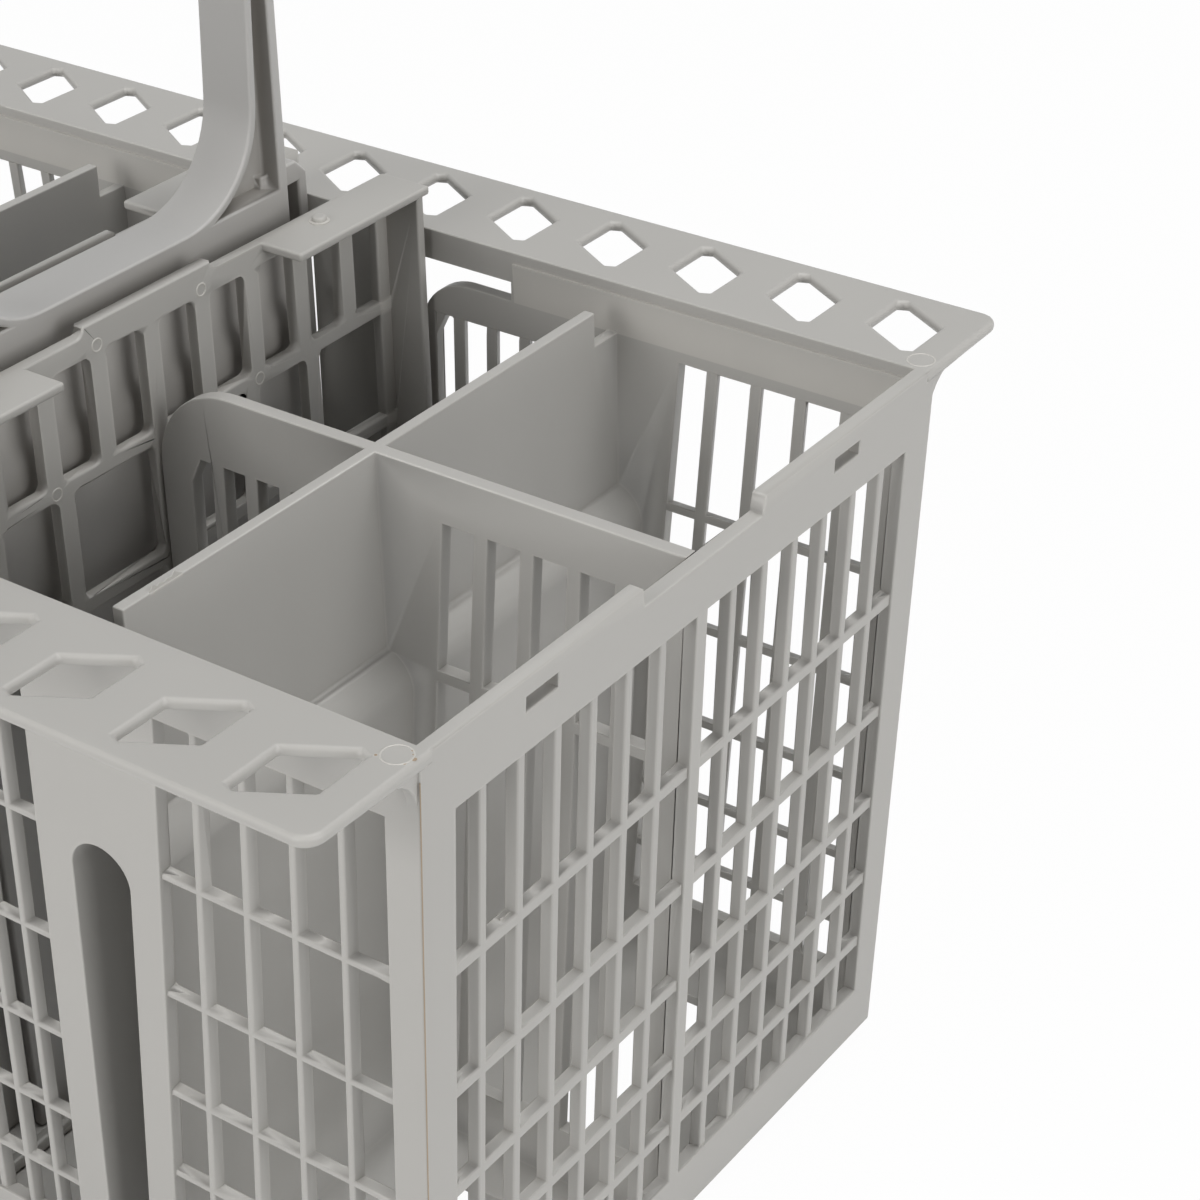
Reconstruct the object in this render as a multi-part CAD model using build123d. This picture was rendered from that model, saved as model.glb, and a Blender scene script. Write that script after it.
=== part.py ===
from build123d import *
import os
from math import radians, tan

# Dishwasher cutlery basket: an open grid basket with pierced flanges, a carrying handle in its
# centre channel and two loose grille panels beside the handle.
# Frame: millimetres, +Z up, X along the basket, origin under the middle of the floor.
# Depths are measured down from the rim, which is the top face of the flanges.

# Basket shell
body_height = 130.0
inner_length = 217.6
inner_width = 120.0
wall = 2.4
floor_thickness = 2.0
end_draft_deg = 2.5
side_draft_deg = 0.55
foot_chamfer = 3.0

# Flanges along both long sides, pierced with slanted holes
flange_reach = 22.8
flange_thickness = 1.8
flange_corner_radius = 3.0
flange_hole_count = 12
flange_hole_pitch = 18.24
flange_hole_width = 10.1
flange_hole_edge = 10.5
flange_hole_slant = 5.8
flange_hole_offset = 12.0
flange_hole_corner = 1.4
gusset_size = 7.0
gusset_thickness = 1.6

# End rails: the plain band over each end grid, dipped in the middle, with two latch slots
rail_height = 11.65
rail_dip_depth = 3.0
rail_dip_width = 31.0
rail_dip_slant = 1.0
rail_slot_length = 6.8
rail_slot_height = 2.2
rail_slot_depth = 3.0
rail_slot_offset = 37.3

# Grid rows, shared by all walls: a tall first row, then rows that get lower step by step
row_count = 6
first_opening = 25.4
second_opening = 18.9
opening_step = 2.45
row_bar = 2.0
grid_recess = 0.9
grid_thickness = 0.75

# End grid columns
centre_post = 4.6
end_bars_per_side = 6
end_bar_width = 2.5
end_bar_pitch = 8.09
first_end_bar = 8.55
end_corner_post = 5.8

# Side wall verticals: where they stand at the rim, and how far they lean in per mm of depth
side_top_depth = 11.0
side_bar_width = 2.5
side_corner_post = 3.4
outer_columns = 5
outer_post_edge = 67.5
outer_post_lean = 0.083
inner_columns = 4
inner_post_edge = 42.6
inner_post_lean = 0.036
inner_top_depth = 15.0

# Slot on each side of the middle post of a side wall, turning over the rounded grid shoulder
middle_post = 18.0
slot_edge = 14.8
slot_lean = 0.0125
slot_frame = 3.0
slot_top_depth = 5.5
slot_sill_depth = 95.0
shoulder_slot_end = 33.5
shoulder_depth = 8.7
shoulder_radius = 10.0

# Dividers
divider_top_depth = 2.9
divider_thickness = 2.5
divider_window_depth = 11.2
divider_end_radius = 15.0
cross_divider_x = 53.7
cross_divider_thickness = 2.0
cross_divider_step = 6.1
cross_divider_low_depth = 8.7

# Tunnels under the cross dividers, open through both side walls and the floor
tunnel_inner_edge = 49.3
tunnel_inner_lean = 0.041
tunnel_outer_edge = 61.6
tunnel_outer_lean = 0.078
tunnel_top_depth = 36.4
tunnel_wall = 1.2

# Drain slot in the floor of each compartment
drain_slot_width = 12.0
drain_margin = 9.0

# Loose grille panels beside the handle
panel_face_x = 10.9
panel_thickness = 2.0
panel_divider_gap = 0.5
panel_side_gap = 0.5
panel_floor_gap = 0.3
panel_top = 8.7
panel_crest = 1.5
panel_crest_width = 28.0
panel_shelf_start = 26.0
panel_shelf_reach = 7.9
panel_shelf_thickness = 1.5
panel_return_reach = 6.6
panel_return_thickness = 1.8
panel_bar_width = 3.3
panel_rail = 2.4
panel_upper_top = 5.2
panel_upper_height = 17.7
panel_upper_pitch = 11.45
panel_lower_height = 18.8
panel_lower_bars = (0.0, 21.0, 36.0)
panel_base_bars = (0.0,)

# Handle: an I-section loop on a hollow stem that stands on the floor between the panels
handle_width = 10.0
handle_height = 105.0
handle_half_span = 39.6
handle_grip = 10.0
handle_web = 2.0
handle_inner_flange = 1.5
handle_outer_flange = 2.0
handle_ledge_top = 12.1
handle_inner_foot = 31.3
handle_inner_lean = 0.05
handle_foot_radius = 16.5
handle_top_chamfer = 14.0
handle_inner_chamfer = 10.0
stem_wall = 1.8
stem_shoulder_depth = 6.0
stem_shoulder = 1.4
stem_floor_gap = 0.3
lug_width = 7.4
lug_thickness = 5.0
lug_height = 2.0
lug_root = 3.7
lug_chamfer = 2.5
lug_slot_width = 3.0
lug_slot_length = 12.0

# Values worked out from the driving sizes
end_slope = tan(radians(end_draft_deg))
side_slope = tan(radians(side_draft_deg))
half_length = inner_length / 2
half_width = inner_width / 2
outer_length = inner_length + 2 * wall
outer_width = inner_width + 2 * wall
cut_margin = 4.0
through_wall = wall + cut_margin / 2
inner_clearance = 0.2
openings = [first_opening] + [second_opening - k * opening_step for k in range(row_count - 1)]


def level(depth):
    return body_height - depth


def row_spans(top_depth):
    # Top and bottom depth of each opening in a grid whose first row starts at top_depth.
    spans = []
    row_start = rail_height
    for opening in openings:
        row_end = row_start + opening
        spans.append((row_start, row_end))
        row_start = row_end + row_bar
    spans[0] = (top_depth, spans[0][1])
    return spans


def polygon(points):
    return make_face(Polyline(*points, close=True))


def prism(plane, points, depth):
    # Prism that starts just outside the plane and goes into the wall behind it.
    face = Plane(plane.origin + plane.z_dir * cut_margin, plane.x_dir, plane.z_dir) * polygon(points)
    return extrude(face, amount=depth + cut_margin, dir=-plane.z_dir)


def tapered_outline(half, slope, low, high):
    # Upright outline with its half width at the rim, narrowing downwards by the slope.
    bottom, top = low - body_height, high - body_height
    return polygon([
        (-half - slope * bottom, bottom),
        (half + slope * bottom, bottom),
        (half + slope * top, top),
        (-half - slope * top, top),
    ])


def tapered_block(length, width, low, high):
    # Block with its length and width at the rim, narrowing downwards by the wall drafts.
    long_face = long_plane(0) * tapered_outline(length / 2, end_slope, low, high)
    cross_face = cross_plane(0) * tapered_outline(width / 2, side_slope, low, high)
    along = extrude(long_face, amount=width, both=True)
    across = extrude(cross_face, amount=length, both=True)
    return along & across


def both_ends(shape):
    return [shape, mirror(shape, about=Plane.YZ)]


def both_sides(shape):
    return [shape, mirror(shape, about=Plane.XZ)]


def four_ways(shape):
    return [copy for half in both_ends(shape) for copy in both_sides(half)]


# Wall planes: local x runs along the wall, local y up it, with y = 0 at the rim
end_plane = Plane((outer_length / 2, 0, body_height), x_dir=(0, 1, 0), z_dir=(1, 0, -end_slope))
side_plane = Plane((0, outer_width / 2, body_height), x_dir=(-1, 0, 0), z_dir=(0, 1, -side_slope))


def long_plane(y):
    # Upright plane along the basket at Y = y: local x is X and local y is height over the rim.
    return Plane((0, y, body_height), x_dir=(1, 0, 0), z_dir=(0, -1, 0))


def cross_plane(x):
    # Upright plane across the basket at X = x: local x is Y and local y is height over the rim.
    return Plane((x, 0, body_height), x_dir=(0, 1, 0), z_dir=(1, 0, 0))


def lean(edge, slope, depth):
    return edge - slope * depth


def section_edges(section, depth):
    # Inner and outer edge of a grid section of the side wall, in X, at a depth.
    if section == "outer":
        corner = lean(half_length - side_corner_post, end_slope, depth)
        return lean(outer_post_edge, outer_post_lean, depth), corner
    return lean(slot_edge + slot_frame, slot_lean, depth), lean(inner_post_edge, inner_post_lean, depth)


def column_edges(section, column, depth):
    # Edges of one window column; the bars share out the section evenly at each depth.
    count = outer_columns if section == "outer" else inner_columns
    low, high = section_edges(section, depth)
    window = (high - low - (count - 1) * side_bar_width) / count
    start = low + column * (window + side_bar_width)
    return start, start + window


def column_window(section, column, top_depth, bottom_depth):
    top = column_edges(section, column, top_depth)
    bottom = column_edges(section, column, bottom_depth)
    corners = quad(top, bottom, top_depth, bottom_depth)
    if section == "inner" and column == 0 and top_depth == inner_top_depth:
        # The window under the rounded shoulder has its corner cut off.
        cut = (top[1] - top[0]) / 2
        corners[0] = (top[0] + cut, -top_depth)
        corners.append((column_edges(section, column, top_depth + cut)[0], -top_depth - 2 * cut))
    return corners


def mirrored_x(points):
    return [(-x, y) for x, y in points]


def quad(top, bottom, top_depth, bottom_depth):
    # Four-sided outline from the low and high edge at its top and at its bottom.
    return [
        (top[0], -top_depth),
        (top[1], -top_depth),
        (bottom[1], -bottom_depth),
        (bottom[0], -bottom_depth),
    ]


def flange_hole():
    # Slanted hole: a parallelogram with its two sharp corners cut off.
    half = flange_hole_width / 2
    middle = half_width + flange_hole_offset
    rise = flange_hole_slant / 2
    edge = flange_hole_edge / 2
    slope = flange_hole_slant / flange_hole_width
    corner = flange_hole_corner
    return polygon([
        (-half, middle + rise - edge),
        (-half, middle + rise + edge - corner),
        (-half + corner, middle + rise + edge - corner * slope),
        (half, middle - rise + edge),
        (half, middle - rise - edge + corner),
        (half - corner, middle - rise - edge + corner * slope),
    ])


def make_flange():
    reach = Pos(0, half_width + flange_reach / 2) * Rectangle(outer_length, flange_reach)
    reach = fillet(reach.vertices().group_by(Axis.Y)[-1], flange_corner_radius)
    first = -(flange_hole_count - 1) / 2 * flange_hole_pitch
    hole = flange_hole()
    for k in range(flange_hole_count):
        reach -= Pos(first + k * flange_hole_pitch, 0) * hole
    return extrude(Pos(0, 0, body_height) * reach, amount=-flange_thickness)


def make_gusset():
    # Small web under each flange end, against the corner post.
    wall_y = outer_width / 2
    low = wall_y - (gusset_size + flange_thickness) * side_slope - wall / 2
    points = [
        (low, -flange_thickness / 2),
        (wall_y + gusset_size, -flange_thickness / 2),
        (low, -flange_thickness - gusset_size),
    ]
    face = cross_plane(half_length) * polygon(points)
    return extrude(face, amount=gusset_thickness, dir=(-1, 0, 0))


def make_long_divider():
    # Half of the long divider, from inside the end wall to its rounded end at the channel.
    inner_end = panel_face_x + panel_divider_gap
    bottom = -(body_height - floor_thickness / 2)
    outer_top = half_length + wall / 2
    points = [
        (inner_end, -divider_top_depth),
        (outer_top, -divider_top_depth),
        (lean(outer_top, end_slope, -bottom), bottom),
        (inner_end, bottom),
    ]
    sheet = polygon(points)
    sheet = fillet(sheet.vertices().sort_by(lambda v: v.X - v.Y)[0], divider_end_radius)
    # Outer half: the first grid row and one tall row below it; inner half: the first row only.
    spans = row_spans(divider_window_depth)
    tall_row = (spans[1][0], spans[-1][1])
    windows = []
    for column in range(outer_columns):
        for top_depth, bottom_depth in (spans[0], tall_row):
            windows.append(polygon(column_window("outer", column, top_depth, bottom_depth)))
    for column in range(inner_columns):
        windows.append(polygon(column_window("inner", column, inner_top_depth, spans[0][1])))
    sheet -= windows
    return extrude(long_plane(0) * sheet, amount=divider_thickness / 2, both=True)


def make_cross_divider():
    reach = half_width + wall / 2
    high = half_width - cross_divider_step
    bottom = -(body_height - floor_thickness / 2)
    low_y = reach - side_slope * body_height
    half = [
        (high, -divider_top_depth),
        (high, -cross_divider_low_depth),
        (reach, -cross_divider_low_depth),
        (low_y, bottom),
    ]
    points = half + [(-y, z) for y, z in reversed(half)]
    face = cross_plane(cross_divider_x) * polygon(points)
    return extrude(face, amount=cross_divider_thickness / 2, both=True)


def tunnel_profile(y, grow, low_depth):
    # Arch outline across the tunnel at Y = y, grown by grow, from low_depth up to the crown.
    edges = []
    spring = tunnel_top_depth + (tunnel_outer_edge - tunnel_inner_edge) / 2
    for depth in (spring, low_depth):
        inner = lean(tunnel_inner_edge, tunnel_inner_lean, depth) - grow
        outer = lean(tunnel_outer_edge, tunnel_outer_lean, depth) + grow
        edges.append((inner, outer, -depth))
    (a, b, z_spring), (c, d, z_low) = edges
    crown = ((a + b) / 2, z_spring + (b - a) / 2)
    outline = Polyline((a, z_spring), (c, z_low), (d, z_low), (b, z_spring))
    arch = ThreePointArc((b, z_spring), crown, (a, z_spring))
    face = make_face([outline, arch])
    return long_plane(y) * face


def make_tunnel(grow, reach, low_depth):
    return extrude(tunnel_profile(reach, grow, low_depth), amount=2 * reach, dir=(0, -1, 0))


def end_windows():
    columns = []
    left = centre_post / 2
    for k in range(end_bars_per_side):
        bar = first_end_bar + k * end_bar_pitch
        columns.append((left, bar - end_bar_width / 2))
        left = bar + end_bar_width / 2
    columns.append((left, half_width - end_corner_post))
    windows = []
    for top_depth, bottom_depth in row_spans(rail_height):
        for low, high in columns:
            corners = quad((low, high), (low, high), top_depth, bottom_depth)
            windows.append(prism(end_plane, corners, through_wall))
    return windows


def pocket_pair(plane, corners):
    # Shallow pockets on both faces of a wall, which leave the thin sheet that the grid is cut in.
    inner_face = Plane(plane.origin - plane.z_dir * wall, plane.x_dir, plane.z_dir)
    sheet_back = grid_recess + grid_thickness
    back = extrude(inner_face * polygon(corners), amount=wall - sheet_back, dir=plane.z_dir)
    back += extrude(inner_face * polygon(corners), amount=inner_clearance, dir=-plane.z_dir)
    return [prism(plane, corners, grid_recess), back]


def end_pockets():
    span = (centre_post / 2, half_width - end_corner_post)
    corners = quad(span, span, rail_height, row_spans(rail_height)[-1][1])
    return pocket_pair(end_plane, corners)


def side_windows():
    windows = []
    outer_spans = row_spans(side_top_depth)
    inner_spans = row_spans(inner_top_depth)
    # The narrow column beside the frame of the slot is one tall window.
    tall_window = (inner_top_depth, inner_spans[-1][1])
    places = [("inner", 0, tall_window)]
    places += [("inner", column, span) for column in range(1, inner_columns) for span in inner_spans]
    places += [("outer", column, span) for column in range(outer_columns) for span in outer_spans]
    for section, column, (top_depth, bottom_depth) in places:
        corners = mirrored_x(column_window(section, column, top_depth, bottom_depth))
        windows.append(prism(side_plane, corners, through_wall))
    return windows


def side_pockets():
    pockets = []
    bottom_depth = row_spans(side_top_depth)[-1][1]
    for section, start in (("outer", side_top_depth), ("inner", inner_top_depth)):
        top = section_edges(section, start)
        bottom = section_edges(section, bottom_depth)
        corners = quad(top, bottom, start, bottom_depth)
        pockets += pocket_pair(side_plane, mirrored_x(corners))
    return pockets


def slot_cut():
    # Upright slot beside the middle post; at its top it turns outwards over the rounded shoulder.
    post = middle_post / 2
    slot_end = Line((shoulder_slot_end, -slot_top_depth), (shoulder_slot_end, -shoulder_depth))
    arch_low = shoulder_depth + shoulder_radius
    arch_foot = (lean(slot_edge, slot_lean, arch_low), -arch_low)
    arch_top = (arch_foot[0] + shoulder_radius, -shoulder_depth)
    sill = (lean(slot_edge, slot_lean, slot_sill_depth), -slot_sill_depth)
    outline = [
        Line((post, -slot_top_depth), slot_end @ 0),
        slot_end,
        Line(slot_end @ 1, arch_top),
        TangentArc(arch_top, arch_foot, tangent=(-1, 0)),
        Line(arch_foot, sill),
        Line(sill, (post, -slot_sill_depth)),
        Line((post, -slot_sill_depth), (post, -slot_top_depth)),
    ]
    face = long_plane(outer_width / 2 + cut_margin) * make_face(outline)
    return extrude(face, amount=wall + 2 * cut_margin, dir=(0, -1, 0))


def rail_cuts():
    # The dip with its slanted ends, and the two latch slots.
    dip = rail_dip_width / 2
    dip_low = dip - rail_dip_slant
    corners = quad((-dip, dip), (-dip_low, dip_low), -cut_margin, rail_dip_depth)
    cuts = [prism(end_plane, corners, through_wall)]
    for middle in (-rail_slot_offset, rail_slot_offset):
        span = (middle - rail_slot_length / 2, middle + rail_slot_length / 2)
        corners = quad(span, span, rail_slot_depth, rail_slot_depth + rail_slot_height)
        cuts.append(prism(end_plane, corners, through_wall))
    return cuts


def drain_cuts():
    # Slots that run across the two compartments of one quarter of the floor.
    floor_y = half_width - side_slope * body_height
    cross_low = lean(tunnel_inner_edge, tunnel_inner_lean, body_height) - tunnel_wall
    cross_high = lean(tunnel_outer_edge, tunnel_outer_lean, body_height) + tunnel_wall
    rooms = [
        (panel_face_x + panel_return_reach, cross_low),
        (cross_high, half_length - end_slope * body_height),
    ]
    slot_low, slot_high = divider_thickness / 2 + drain_margin, floor_y - drain_margin
    cuts = []
    for low, high in rooms:
        slot = Pos((low + high) / 2, (slot_low + slot_high) / 2, floor_thickness / 2)
        cuts.append(slot * Box(drain_slot_width, slot_high - slot_low, floor_thickness + cut_margin))
    return cuts


def make_basket():
    shell = tapered_block(outer_length, outer_width, 0, body_height)
    shell = chamfer(shell.edges().group_by(Axis.Z)[0], foot_chamfer)
    shell -= tapered_block(inner_length, inner_width, floor_thickness, body_height + cut_margin)
    tunnel_foot = body_height - floor_thickness / 2
    basket = shell + both_sides(make_flange())
    basket += four_ways(make_gusset())
    basket += both_ends(make_long_divider())
    basket += both_ends(make_cross_divider())
    basket += both_ends(make_tunnel(tunnel_wall, half_width, tunnel_foot))
    cuts = both_ends(make_tunnel(0, half_width + wall + cut_margin, body_height + cut_margin))
    for pocket in end_pockets() + side_pockets():
        cuts += four_ways(pocket)
    cuts += four_ways(slot_cut())
    basket -= cuts
    windows = []
    for window in end_windows():
        windows += four_ways(window)
    for window in side_windows() + drain_cuts():
        windows += four_ways(window)
    for cut in rail_cuts():
        windows += both_ends(cut)
    return basket - windows


def make_panel():
    # Plate, shelf and returns of the panel on the +X side of the handle.
    floor_y = half_width - side_slope * (body_height - floor_thickness)
    half = floor_y - panel_side_gap
    bottom = floor_thickness + panel_floor_gap - body_height
    crest = panel_crest_width / 2
    outline = [
        (half, bottom),
        (half, panel_top),
        (crest, panel_top),
        (crest, panel_top + panel_crest),
    ]
    outline += [(-y, z) for y, z in reversed(outline)]
    sheet = polygon(outline)
    upper_bottom = panel_upper_top - panel_upper_height
    edge = half - panel_return_thickness
    windows = []
    upper_bars = [k * panel_upper_pitch for k in range(int(edge / panel_upper_pitch) + 1)]
    lower_top = upper_bottom - panel_rail
    base_top = lower_top - panel_lower_height - panel_rail
    rows = [
        (upper_bars, panel_upper_top, upper_bottom),
        (panel_lower_bars, lower_top, lower_top - panel_lower_height),
        (panel_base_bars, base_top, bottom + panel_rail),
    ]
    for bars, top, low in rows:
        for k, bar in enumerate(bars):
            start = bar + panel_bar_width / 2
            stop = bars[k + 1] - panel_bar_width / 2 if k + 1 < len(bars) else edge
            if stop - start > panel_bar_width / 2:
                corners = [(start, top), (stop, top), (stop, low), (start, low)]
                windows += [polygon(corners), polygon([(-y, z) for y, z in corners])]
    sheet -= windows
    panel = extrude(cross_plane(panel_face_x) * sheet, amount=panel_thickness, dir=(-1, 0, 0))
    shelf_length = half - panel_shelf_start
    shelf_top = level(0) + panel_top
    shelf = Pos(panel_face_x + panel_shelf_reach / 2, panel_shelf_start + shelf_length / 2,
                shelf_top - panel_shelf_thickness / 2)
    shelf *= Box(panel_shelf_reach, shelf_length, panel_shelf_thickness)
    tall = shelf_top - level(-bottom)
    side_x = panel_face_x + panel_return_reach / 2
    side = Pos(side_x, half - panel_return_thickness / 2, shelf_top - tall / 2)
    side *= Box(panel_return_reach, panel_return_thickness, tall)
    return panel + both_sides(shelf) + both_sides(side)


def handle_inside():
    # The hand opening of the loop: rounded at the foot, leaning out to cut top corners.
    top = handle_height - handle_grip
    foot = handle_inner_foot
    head = foot + handle_inner_lean * (top - handle_ledge_top)
    face = polygon([(-foot, handle_ledge_top), (foot, handle_ledge_top), (head, top), (-head, top)])
    face = fillet(face.vertices().group_by(Axis.Y)[0], handle_foot_radius)
    return chamfer(face.vertices().group_by(Axis.Y)[-1], handle_inner_chamfer)


def make_handle():
    base = handle_ledge_top - handle_outer_flange
    outside = Pos(0, (base + handle_height) / 2) * Rectangle(2 * handle_half_span, handle_height - base)
    outside = chamfer(outside.vertices().group_by(Axis.Y)[-1], handle_top_chamfer)
    inside = handle_inside()
    web = outside - inside
    rims = offset(inside, handle_inner_flange, kind=Kind.INTERSECTION) - inside
    rims += outside - offset(outside, -handle_outer_flange, kind=Kind.INTERSECTION)
    loop = extrude(cross_plane(0) * web, amount=handle_web / 2, both=True)
    loop += extrude(cross_plane(0) * rims, amount=handle_width / 2, both=True)

    # Hollow stem below the loop: straight to a shoulder, then a little wider down to the floor.
    half = handle_width / 2
    wide = half + stem_shoulder
    bottom = floor_thickness + stem_floor_gap - body_height
    right = [
        (half, base + handle_outer_flange / 2),
        (half, -stem_shoulder_depth),
        (wide, -stem_shoulder_depth - 2 * stem_shoulder),
        (wide, bottom),
    ]
    section = polygon(right + [(-x, z) for x, z in reversed(right)])
    hollow = [(x - stem_wall, z) for x, z in right]
    hollow[0] = (half - stem_wall, base - stem_wall)
    hollow[-1] = (wide - stem_wall, bottom - stem_wall)
    section -= polygon(hollow + [(-x, z) for x, z in reversed(hollow)])
    stem = extrude(long_plane(0) * section, amount=handle_half_span, both=True)

    # Slotted lug at each end of the stem, let into it by its root.
    lug_top = handle_ledge_top + lug_height
    lug_middle = handle_half_span + lug_width / 2
    lug_length = lug_width + lug_root
    lug = Pos(lug_middle - lug_root / 2, (lug_top + bottom) / 2) * Rectangle(lug_length, lug_top - bottom)
    lug = chamfer(lug.vertices().group_by(Axis.Y)[-1].sort_by(Axis.X)[-1], lug_chamfer)
    slot = Pos(lug_middle, lug_top - lug_width / 2 - lug_slot_length / 2)
    lug -= slot * Rectangle(lug_slot_width, lug_slot_length)
    lug = extrude(cross_plane(0) * lug, amount=lug_thickness / 2, both=True)
    return loop + stem + both_sides(lug)


os.makedirs("parts", exist_ok=True)
panel_front = make_panel()
export_step(make_basket(), "parts/basket.step")
export_step(make_handle(), "parts/handle.step")
export_step(panel_front, "parts/panel_front.step")
export_step(mirror(panel_front, about=Plane.YZ), "parts/panel_back.step")
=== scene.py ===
# %% [markdown]
# # Dishwasher cutlery basket
# The CAD model already holds the walls, windows and dividers. This lesson dresses it: soft moulded edges,
# ridged bars in the grid, slim end posts on the panels, the small marks that a mould leaves, and a satin
# grey plastic.

import math

import bmesh
import bpy
from mathutils import Matrix, Vector
from mathutils.bvhtree import BVHTree
from mathutils.geometry import intersect_point_line
from mathutils.kdtree import KDTree


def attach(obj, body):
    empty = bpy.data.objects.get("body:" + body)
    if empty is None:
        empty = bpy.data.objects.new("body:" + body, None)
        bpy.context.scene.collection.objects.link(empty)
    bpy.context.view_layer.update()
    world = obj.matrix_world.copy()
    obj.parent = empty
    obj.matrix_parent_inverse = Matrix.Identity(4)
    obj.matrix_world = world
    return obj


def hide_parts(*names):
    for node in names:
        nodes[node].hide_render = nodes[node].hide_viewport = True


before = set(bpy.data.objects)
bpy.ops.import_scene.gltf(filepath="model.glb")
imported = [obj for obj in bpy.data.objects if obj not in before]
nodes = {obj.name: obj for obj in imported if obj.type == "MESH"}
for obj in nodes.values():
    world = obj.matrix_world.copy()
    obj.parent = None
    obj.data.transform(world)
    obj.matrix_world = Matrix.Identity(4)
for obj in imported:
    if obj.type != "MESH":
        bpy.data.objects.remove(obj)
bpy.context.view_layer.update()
scene = bpy.context.scene
scene.view_settings.view_transform = "Standard"
mm = 0.001
rim_height = 130.0

# %% [markdown]
# ## Camera
# The photograph was taken from in front of one corner, looking down by about 31 degrees, with a long lens.
# The place and the turn of the camera were worked out from points measured on the basket, so the picture
# lines up without any lens shift. Blender's camera looks along its own -Z, so the three columns of its
# matrix are the picture's right, its up, and the way back from the subject.

# %% Camera at the photograph's angle
camera_place = Vector((291.92, -278.11, 323.58)) * mm
look = Vector((-0.49562, 0.69436, -0.52175)).normalized()
level_right = look.cross(Vector((0, 0, 1))).normalized()
camera_roll = math.radians(0.80)
right = Matrix.Rotation(camera_roll, 3, look) @ level_right
up = right.cross(look)
turn = Matrix((right, up, -look)).transposed()
camera_data = bpy.data.cameras.new("photo_camera")
camera_data.sensor_width = 36.0
camera_data.lens = 85.69
camera = bpy.data.objects.new("photo_camera", camera_data)
camera.matrix_world = Matrix.Translation(camera_place) @ turn.to_4x4()
scene.collection.objects.link(camera)
scene.camera = camera
print("camera height over the rim in mm:", round(camera_place.z / mm - rim_height, 1))

# %% [markdown]
# ## Floor, sky and lamps
# A studio shot on white paper, lit by big soft boxes. The floor is white to the camera, and the sky behind
# it a very light grey. Both tones are painted only for rays that come from the camera or from a reflection,
# so they add no diffuse light to the basket. The floor mixes its white with an ordinary matte paper, which
# keeps a faint shadow.

# %% Floor and sky
def white_for_camera(tree):
    """Gives a socket that is 1 for camera, mirror and glass rays, and 0 for light that bounces."""
    path = tree.nodes.new("ShaderNodeLightPath")
    seen = tree.nodes.new("ShaderNodeMath")
    seen.operation = "MAXIMUM"
    tree.links.new(path.outputs["Is Camera Ray"], seen.inputs[0])
    tree.links.new(path.outputs["Is Glossy Ray"], seen.inputs[1])
    both = tree.nodes.new("ShaderNodeMath")
    both.operation = "MAXIMUM"
    tree.links.new(seen.outputs[0], both.inputs[0])
    tree.links.new(path.outputs["Is Transmission Ray"], both.inputs[1])
    return both.outputs[0]


paper_white_share = 0.97
paper = bpy.data.materials.new("floor_paper")
paper.use_nodes = True
tree = paper.node_tree
tree.nodes.clear()
output = tree.nodes.new("ShaderNodeOutputMaterial")
matte = tree.nodes.new("ShaderNodeBsdfDiffuse")
matte.inputs["Color"].default_value = (0.8, 0.8, 0.8, 1)
glow = tree.nodes.new("ShaderNodeEmission")
glow.inputs["Strength"].default_value = 1.0
mix = tree.nodes.new("ShaderNodeMixShader")
share = tree.nodes.new("ShaderNodeMath")
share.operation = "MULTIPLY"
share.inputs[1].default_value = paper_white_share
tree.links.new(white_for_camera(tree), share.inputs[0])
tree.links.new(share.outputs[0], mix.inputs["Fac"])
tree.links.new(matte.outputs[0], mix.inputs[1])
tree.links.new(glow.outputs[0], mix.inputs[2])
tree.links.new(mix.outputs[0], output.inputs["Surface"])

bpy.ops.mesh.primitive_plane_add(size=12)
floor = bpy.context.object
floor.name = "floor"
floor.data.materials.append(paper)

sky = bpy.data.worlds.new("studio")
scene.world = sky
sky.use_nodes = True
tree = sky.node_tree
tree.nodes.clear()
output = tree.nodes.new("ShaderNodeOutputWorld")
ambient = tree.nodes.new("ShaderNodeBackground")
ambient.inputs["Color"].default_value = (1.0, 0.99, 0.975, 1)
ambient.inputs["Strength"].default_value = 0.04
backdrop = tree.nodes.new("ShaderNodeBackground")
backdrop.inputs["Color"].default_value = (0.8, 0.8, 0.8, 1)
backdrop.inputs["Strength"].default_value = 1.0
mix = tree.nodes.new("ShaderNodeMixShader")
tree.links.new(white_for_camera(tree), mix.inputs["Fac"])
tree.links.new(ambient.outputs[0], mix.inputs[1])
tree.links.new(backdrop.outputs[0], mix.inputs[2])
tree.links.new(mix.outputs[0], output.inputs["Surface"])
print("floor and sky made")


# %% Lamps
def soft_box(name, place, aim, size, watts, colour):
    """A square area lamp at place (metres) that points at aim."""
    data = bpy.data.lights.new(name, "AREA")
    data.shape = "SQUARE"
    data.size = size
    data.energy = watts
    data.color = colour
    lamp = bpy.data.objects.new(name, data)
    lamp.location = place
    lamp.rotation_euler = (Vector(aim) - Vector(place)).to_track_quat("-Z", "Y").to_euler()
    scene.collection.objects.link(lamp)
    return lamp


soft_box("key_box", (-0.25, -1.3, 0.55), (0, 0, 0.08), 0.9, 12.8, (1.0, 0.985, 0.965))
soft_box("right_box", (1.35, -0.1, 0.5), (0, 0, 0.08), 0.9, 10.0, (1.0, 0.99, 0.975))
soft_box("top_box", (0.2, 0.3, 1.6), (0, 0, 0.08), 0.8, 15.5, (1.0, 0.995, 0.985))
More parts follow.
